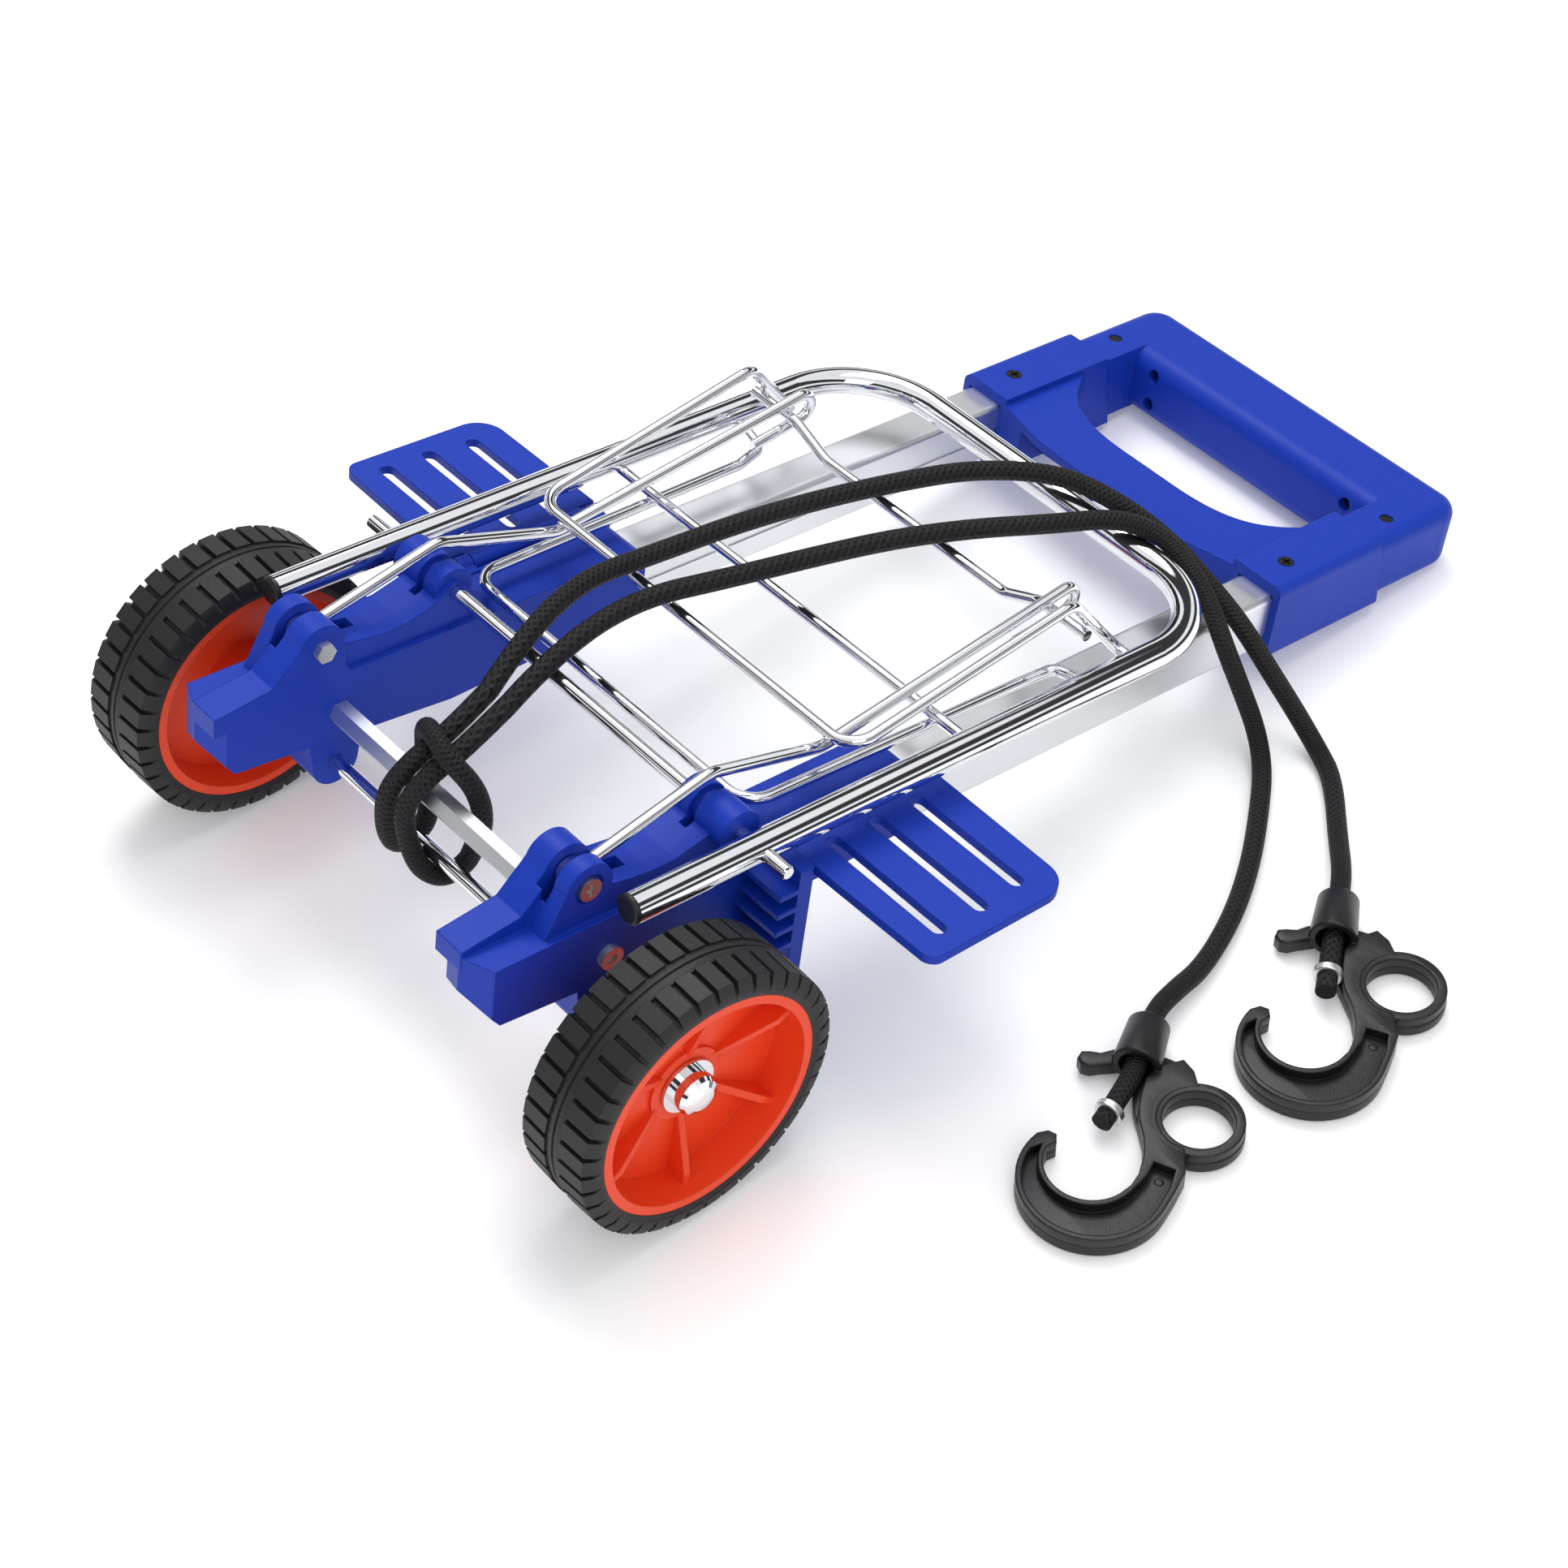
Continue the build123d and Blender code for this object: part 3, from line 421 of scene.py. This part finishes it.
def tyre_mesh(side):
    """One tyre about the X axis at the origin, then moved to its axle end."""
    bm = bmesh.new()
    section = [
        (-18.6, 50.0),
        (-19.3, 52.0),
        (-19.0, 54.5),
        (-16.0, 57.0),
        (-4.2, 57.6),
        (-4.0, 58.9),
        (-2.4, 59.4),
        (-0.7, 59.4),
        (-0.4, 58.6),
        (0.4, 58.6),
        (0.7, 59.4),
        (2.4, 59.4),
        (4.0, 58.9),
        (4.2, 57.6),
        (16.0, 57.0),
        (19.0, 54.5),
        (19.3, 52.0),
        (18.6, 50.0),
    ]
    spin_section(bm, [(x * MM, 0.0, r * MM) for x, r in section], (1, 0, 0), 120)
    bmesh.ops.remove_doubles(bm, verts=bm.verts, dist=WELD_DISTANCE)
    for row in (-1, 1):
        for block in range(TREAD_BLOCKS):
            angle = (block + (0.5 if row < 0 else 0.0)) * 2 * pi / TREAD_BLOCKS
            add_block(bm, row, angle)
    bmesh.ops.recalc_face_normals(bm, faces=bm.faces)
    place = Matrix.Translation((side * WHEEL_OFFSET, AXLE_ALONG, AXLE_HEIGHT))
    bmesh.ops.transform(bm, matrix=place, verts=bm.verts)
    return bm


def add_block(bm, row, angle):
    """One tread block: a slab across half the tyre, its outer end turned down over the shoulder."""
    made = bmesh.ops.create_cube(bm, size=1.0)["verts"]
    bmesh.ops.scale(bm, vec=BLOCK_SIZE, verts=made)
    bmesh.ops.translate(bm, vec=(row * BLOCK_MIDDLE, 0, BLOCK_HEIGHT), verts=made)
    outer = [v for v in made if v.co.x * row > 12 * MM]
    low_outer = [v for v in outer if v.co.z < 58 * MM]
    top_outer = [v for v in outer if v.co.z > 58 * MM]
    end = [f for f in bm.faces if all(v in outer for v in f.verts)]
    grown = bmesh.ops.extrude_discrete_faces(bm, faces=end)["faces"][0]
    tip = list(grown.verts)
    bmesh.ops.translate(bm, vec=(row * SHOULDER_REACH[0], 0, SHOULDER_REACH[1]), verts=tip)
    for vertex in top_outer:
        vertex.co.z -= 0.5 * MM
    for vertex in low_outer:
        vertex.co.z -= 0.6 * MM
    whole = list({*made, *tip})
    bmesh.ops.rotate(bm, cent=(0, 0, 0), matrix=Matrix.Rotation(angle, 3, "X"), verts=whole)


for side, side_name in ((1, "right"), (-1, "left")):
    tyre = new_piece(
        "tread_tyre_" + side_name,
        tyre_mesh(side),
        rubber,
        "wheel_" + side_name,
    )
    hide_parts("tyre_" + side_name)
    print(tyre.name, "faces", len(tyre.data.polygons))

# %% [markdown]
# ## Hooks
# Each hook is a flat moulding with rounded edges: a lower half under the whole outline, an upper
# half with a pocket along the arc, a finger ring, a tab and a tapered socket that grips the cord.
# Flat curves with a bevel give such plates directly, and the gap between the halves is the
# mould's parting line.


# %% Hook helpers
def arc(centre, radius, start, end, steps):
    """Points along an arc, in degrees."""
    turns = [radians(start + (end - start) * i / steps) for i in range(steps + 1)]
    return [(centre[0] + radius * cos(t), centre[1] + radius * sin(t)) for t in turns]


def add_plate(bm, outlines, low, high, rounding):
    """A flat plate in millimetres from closed outlines, with rounded edges, added to a bmesh."""
    curve = bpy.data.curves.new("plate", "CURVE")
    curve.dimensions = "2D"
    curve.fill_mode = "BOTH"
    curve.extrude = (high - low) / 2 * MM - rounding * MM
    curve.bevel_depth = rounding * MM
    curve.bevel_resolution = 2
    curve.offset = -rounding * MM
    for outline in outlines:
        spline = curve.splines.new("POLY")
        spline.points.add(len(outline) - 1)
        for point, (x, y) in zip(spline.points, outline):
            point.co = (x * MM, y * MM, 0.0, 1.0)
        spline.use_cyclic_u = True
    drawn = bpy.data.objects.new("plate", curve)
    plate = bpy.data.meshes.new_from_object(drawn)
    plate.transform(Matrix.Translation((0, 0, (low + high) / 2 * MM)))
    bm.from_mesh(plate)
    bpy.data.objects.remove(drawn)


MOUTH_RADIUS = 17.8
ARC_CENTRE = (6.3, -3.2)
ARC_RADIUS = 30.0
RING_CENTRE = (7.5, 47.9)
RING_HOLE_RADIUS = 14.2
SOCKET_SEAT = (-40.5 * MM, 62.7 * MM, 10.4 * MM)
SOCKET_AXIS = Vector((0.6, -0.8, 0))
TIP = [(-21.8, -3.0), (-18.4, -1.6), (-15.4, -4.0), (-15.9, -7.8)]
NECK_EDGE = [(17.2, 6.0), (14.6, 12.0), (9.0, 19.0), (2.2, 24.6), (-6.0, 29.0)]
NECK_BACK = arc(RING_CENTRE, 16.4, 140, 300, 12) + [(24.6, 27.0), (29.5, 18.0)]
mouth_edge = arc((0, 0), MOUTH_RADIUS, 206, 360, 22)
outer_edge = arc(ARC_CENTRE, ARC_RADIUS, 25, -172, 32)
low_outline = (
    TIP
    + mouth_edge
    + NECK_EDGE
    + [(-13, 32.5), (-20, 37.5), (-25, 43), (-31, 51), (-27, 60), (-20, 63.5), (-12, 62.5)]
    + NECK_BACK
    + outer_edge
)
top_outline = (
    TIP
    + mouth_edge
    + NECK_EDGE
    + [(-11, 33), (-15.5, 38), (-20.5, 44.5), (-22, 53), (-19, 62.5), (-12, 62.0)]
    + NECK_BACK
    + outer_edge
)
pocket = (
    arc((0, 0), MOUTH_RADIUS + 2.4, 206, 372, 24)
    + [(17.4, 14.0), (13.6, 20.5), (21.5, 24.5), (26.6, 17.5)]
    + arc(ARC_CENTRE, ARC_RADIUS - 2.6, 22, -156, 28)
)
print("hook outlines", len(low_outline), len(top_outline), len(pocket))


# %% Hook builder
def add_socket(bm):
    """The tapered socket: a section spun about the cord's line, then seated on the hook."""
    section = [(4.8, 0), (8.0, 0), (8.7, 0.8), (10.0, 21.6), (9.4, 22.4), (7.2, 22.4), (4.8, 17)]
    spin_section(bm, [(x * MM, 0, z * MM) for x, z in section], (0, 0, 1), 40)
    along = SOCKET_AXIS.to_track_quat("Z", "Y").to_matrix().to_4x4()
    bmesh.ops.transform(bm, matrix=Matrix.Translation(SOCKET_SEAT) @ along, verts=bm.verts)


def hook_mesh(place):
    """One hook about the middle of its mouth, then moved to where it lies."""
    bm = bmesh.new()
    add_socket(bm)
    add_plate(bm, [low_outline], 0.6, 5.8, 0.5)
    add_plate(bm, [top_outline, pocket], 5.7, 10.6, 0.6)
    ring_hole = arc(RING_CENTRE, RING_HOLE_RADIUS, 0, 352, 44)
    add_plate(bm, [arc(RING_CENTRE, 18.6, 0, 352, 44), ring_hole], 0.7, 5.5, 0.5)
    add_plate(bm, [arc(RING_CENTRE, 18.3, 0, 352, 44), ring_hole], 5.4, 10.3, 0.6)
    tab = [(-33, 41), (-36.5, 35), (-38.5, 30.8), (-41.5, 28.8), (-45, 29.8), (-46.6, 33.2)]
    add_plate(bm, [tab + [(-44.5, 36.2), (-41.5, 39), (-40, 44), (-35, 50)]], 2.0, 9.4, 1.2)
    add_plate(bm, [arc((20.0, 18.0), 1.7, 0, 330, 11)], 5.6, 6.2, 0.15)
    bmesh.ops.remove_doubles(bm, verts=bm.verts, dist=WELD_DISTANCE)
    bmesh.ops.recalc_face_normals(bm, faces=bm.faces)
    bmesh.ops.transform(bm, matrix=place, verts=bm.verts)
    return bm


for hook_name, x, y, turn in (("long", 256.7, 8.5, 0.0), ("short", 247.7, -101.6, -5.5)):
    place = Matrix.Translation((x * MM, y * MM, 0)) @ Matrix.Rotation(radians(turn), 4, "Z")
    hook = new_piece(
        "moulded_hook_" + hook_name, hook_mesh(place), black, "frame", 40
    )
    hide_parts("hook_" + hook_name)
    print(hook.name, "faces", len(hook.data.polygons))

spline_length(hitch)
spline_length(long_strand)
spline_length(short_strand)
print("cords declared", len(cords))

# %% [markdown]
# ## Finishes for the CAD nodes
# Each CAD node keeps its shape and takes one finish by its material slot. No moulding tool leaves
# a sharp edge, so the plastics round their edges in the shader instead of in the mesh.

# %% Assign finishes
SLOT_FINISH = {
    "blue_plastic": blue,
    "orange_plastic": orange,
    "black_plastic": black,
    "black_spacer": black,
    "tyre_rubber": rubber,
    "aluminium": alloy,
    "chrome": chrome,
    "zinc_steel": zinc,
    "pale_plastic": pale,
    "clip_wire": zinc,
    "black_steel": black_screw,
    "elastic_cord": rubber,
}
slot_of = {entry["node"]: entry["material_slot"] for entry in frame["record"]["subparts"]}
for node_name, node in nodes.items():
    node.data.materials.clear()
    node.data.materials.append(SLOT_FINISH[slot_of[node_name]])
print("finished nodes", len(nodes))

# %% [markdown]
# ## Floor and light
# A pale, plain floor and large soft lights, as in a small product studio. Shiny surfaces see
# light panels with dark gaps between them, which give the chrome its sharp streaks.

# %% Studio
floor_bm = bmesh.new()
bmesh.ops.create_grid(floor_bm, x_segments=1, y_segments=1, size=40.0)
floor_mesh = bpy.data.meshes.new("studio_floor")
floor_bm.to_mesh(floor_mesh)
floor_bm.free()
studio_floor = bpy.data.objects.new("studio_floor", floor_mesh)
bpy.context.scene.collection.objects.link(studio_floor)
floor_paint = bpy.data.materials.new("pale floor")
floor_paint.use_nodes = True
floor_shader = floor_paint.node_tree.nodes["Principled BSDF"]
floor_shader.inputs["Base Color"].default_value = (0.95, 0.95, 0.95, 1.0)
floor_shader.inputs["Roughness"].default_value = 0.9
floor_shader.inputs["Specular IOR Level"].default_value = 0.1
floor_shader.inputs["Emission Color"].default_value = (1.0, 1.0, 1.0, 1.0)
floor_shader.inputs["Emission Strength"].default_value = 0.12
floor_mesh.materials.append(floor_paint)

world = bpy.data.worlds.new("soft studio")
world.use_nodes = True
bpy.context.scene.world = world
sky = world.node_tree.nodes["Background"]
sky.inputs["Color"].default_value = (0.98, 0.99, 1.0, 1.0)
sky.inputs["Strength"].default_value = 0.72
sky_place = world.node_tree.nodes.new("ShaderNodeTexCoord")
sky_split = world.node_tree.nodes.new("ShaderNodeSeparateXYZ")
sky_ramp = world.node_tree.nodes.new("ShaderNodeValToRGB")
ramp = sky_ramp.color_ramp
ramp.elements[0].position = 0.0
ramp.elements[0].color = (0.05, 0.05, 0.06, 1.0)
ramp.elements[1].position = 1.0
ramp.elements[1].color = (0.85, 0.85, 0.87, 1.0)
# Each stop is a height, from straight down at 0 to straight up at 1, and a grey.
PANEL_STOPS = ((0.22, 0.04), (0.25, 0.95), (0.40, 1.0), (0.43, 0.05), (0.66, 0.04), (0.69, 1.0))
for position, grey in PANEL_STOPS:
    stop = ramp.elements.new(position)
    stop.color = (grey, grey, grey * 1.02, 1.0)
sky_links = world.node_tree.links
sky_links.new(sky_place.outputs["Generated"], sky_split.inputs["Vector"])
sky_links.new(sky_split.outputs["Z"], sky_ramp.inputs["Fac"])
panels = world.node_tree.nodes.new("ShaderNodeBackground")
sky_links.new(sky_ramp.outputs["Color"], panels.inputs["Color"])
sky_rays = world.node_tree.nodes.new("ShaderNodeLightPath")
sky_choice = world.node_tree.nodes.new("ShaderNodeMixShader")
sky_links.new(sky_rays.outputs["Is Glossy Ray"], sky_choice.inputs["Fac"])
sky_links.new(sky.outputs["Background"], sky_choice.inputs[1])
sky_links.new(panels.outputs["Background"], sky_choice.inputs[2])
sky_surface = world.node_tree.nodes["World Output"].inputs["Surface"]
sky_links.new(sky_choice.outputs["Shader"], sky_surface)


def soft_light(name, place, target, size, power):
    """A square area light turned towards a point."""
    data = bpy.data.lights.new(name, "AREA")
    data.shape = "SQUARE"
    data.size = size
    data.energy = power
    lamp = bpy.data.objects.new(name, data)
    bpy.context.scene.collection.objects.link(lamp)
    lamp.location = place
    direction = Vector(target) - Vector(place)
    lamp.rotation_euler = direction.to_track_quat("-Z", "Y").to_euler()
    return lamp


soft_light("key", (-0.9, 0.5, 1.9), (0, 0, 0), 1.1, 20.0)
soft_light("fill", (1.6, -0.9, 1.4), (0, 0, 0), 1.2, 9.0)
soft_light("top", (0.1, 0.3, 2.3), (0, 0, 0), 1.0, 9.0)
bpy.context.scene.view_settings.view_transform = "Standard"
print("lights", [item.name for item in bpy.data.lights])
